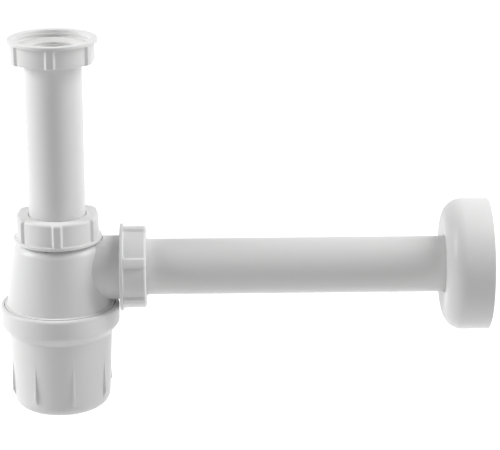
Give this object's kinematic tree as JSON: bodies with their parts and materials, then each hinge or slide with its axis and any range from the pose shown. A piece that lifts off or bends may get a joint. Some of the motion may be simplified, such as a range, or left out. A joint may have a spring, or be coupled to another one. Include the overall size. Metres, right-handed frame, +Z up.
{
  "type": "sink trap",
  "caption": "White plastic bottle trap for a wash basin: inlet tube with union nut, screwed cup, side outlet with a straight tube and a wall rosette.",
  "frame": {"origin": "seat of the sink waste: centre of the washer's top face inside the union nut", "axes": "+Z up along the inlet tube, +X along the outlet tube to the wall"},
  "size_m": [0.279, 0.075, 0.216],
  "materials": {
    "nut_plastic": "satin moulded",
    "body_plastic": "satin moulded",
    "tube_plastic": "smooth extruded",
    "rosette_plastic": "satin moulded",
    "washer_plastic": "matte moulded",
    "seal_rubber": "matte"
  },
  "bodies": {
    "trap": {"trap_body": "body_plastic", "dip_tube": "body_plastic"},
    "cup_gasket": {"cup_gasket": "seal_rubber"},
    "cup": {"cup": "body_plastic"},
    "inlet_slip_ring": {"inlet_slip_ring": "washer_plastic"},
    "inlet_nut": {"inlet_nut": "nut_plastic"},
    "inlet_cone_seal": {"inlet_cone_seal": "seal_rubber"},
    "inlet_tube": {"inlet_tube": "tube_plastic"},
    "waste_washer": {"waste_washer": "washer_plastic"},
    "union_nut": {"union_nut": "nut_plastic"},
    "outlet_slip_ring": {"outlet_slip_ring": "washer_plastic"},
    "outlet_nut": {"outlet_nut": "nut_plastic"},
    "outlet_cone_seal": {"outlet_cone_seal": "seal_rubber"},
    "outlet_tube": {"outlet_tube": "tube_plastic"},
    "wall_rosette": {"wall_rosette": "rosette_plastic"}
  },
  "joints": [
    {"name": "cup_lower", "type": "slide", "parent": "trap", "child": "cup_gasket", "axis": [0, 0, -1], "range_m": [0, 0.011]},
    {"name": "cup_turn", "type": "hinge", "parent": "cup_gasket", "child": "cup", "pos_m": [0, 0, -0.18], "axis": [0, 0, -1], "range_deg": [0, 990]},
    {"name": "inlet_ring_lift", "type": "slide", "parent": "trap", "child": "inlet_slip_ring", "axis": [0, 0, 1], "range_m": [0, 0.009]},
    {"name": "inlet_nut_turn", "type": "hinge", "parent": "inlet_slip_ring", "child": "inlet_nut", "pos_m": [0, 0, -0.105], "axis": [0, 0, 1], "range_deg": [0, 1080]},
    {"name": "inlet_swivel", "type": "hinge", "parent": "trap", "child": "inlet_cone_seal", "pos_m": [0, 0, -0.105], "axis": [0, 0, 1], "continuous": true},
    {"name": "inlet_height", "type": "slide", "parent": "inlet_cone_seal", "child": "inlet_tube", "axis": [0, 0, 1], "range_m": [-0.02, 0.03]},
    {"name": "union_turn", "type": "hinge", "parent": "inlet_tube", "child": "waste_washer", "pos_m": [0, 0, 0], "axis": [0, 0, 1], "continuous": true},
    {"name": "union_drop", "type": "slide", "parent": "waste_washer", "child": "union_nut", "axis": [0, 0, -1], "range_m": [0, 0.055]},
    {"name": "outlet_ring_back", "type": "slide", "parent": "trap", "child": "outlet_slip_ring", "axis": [1, 0, 0], "range_m": [0, 0.009]},
    {"name": "outlet_nut_turn", "type": "hinge", "parent": "outlet_slip_ring", "child": "outlet_nut", "pos_m": [0.044, 0, -0.13], "axis": [1, 0, 0], "range_deg": [0, 1080]},
    {"name": "outlet_swivel", "type": "hinge", "parent": "trap", "child": "outlet_cone_seal", "pos_m": [0.044, 0, -0.13], "axis": [1, 0, 0], "continuous": true},
    {"name": "outlet_reach", "type": "slide", "parent": "outlet_cone_seal", "child": "outlet_tube", "axis": [1, 0, 0], "range_m": [0, 0.007]},
    {"name": "rosette_slide", "type": "slide", "parent": "outlet_tube", "child": "wall_rosette", "axis": [-1, 0, 0], "range_m": [0, 0.15]}
  ],
  "couplings": [
    {"joint": "cup_lower", "follows": "cup_turn", "m_per_rad": 0.0006366},
    {"joint": "inlet_ring_lift", "follows": "inlet_nut_turn", "m_per_rad": 0.00047745},
    {"joint": "outlet_ring_back", "follows": "outlet_nut_turn", "m_per_rad": 0.00047745}
  ]
}
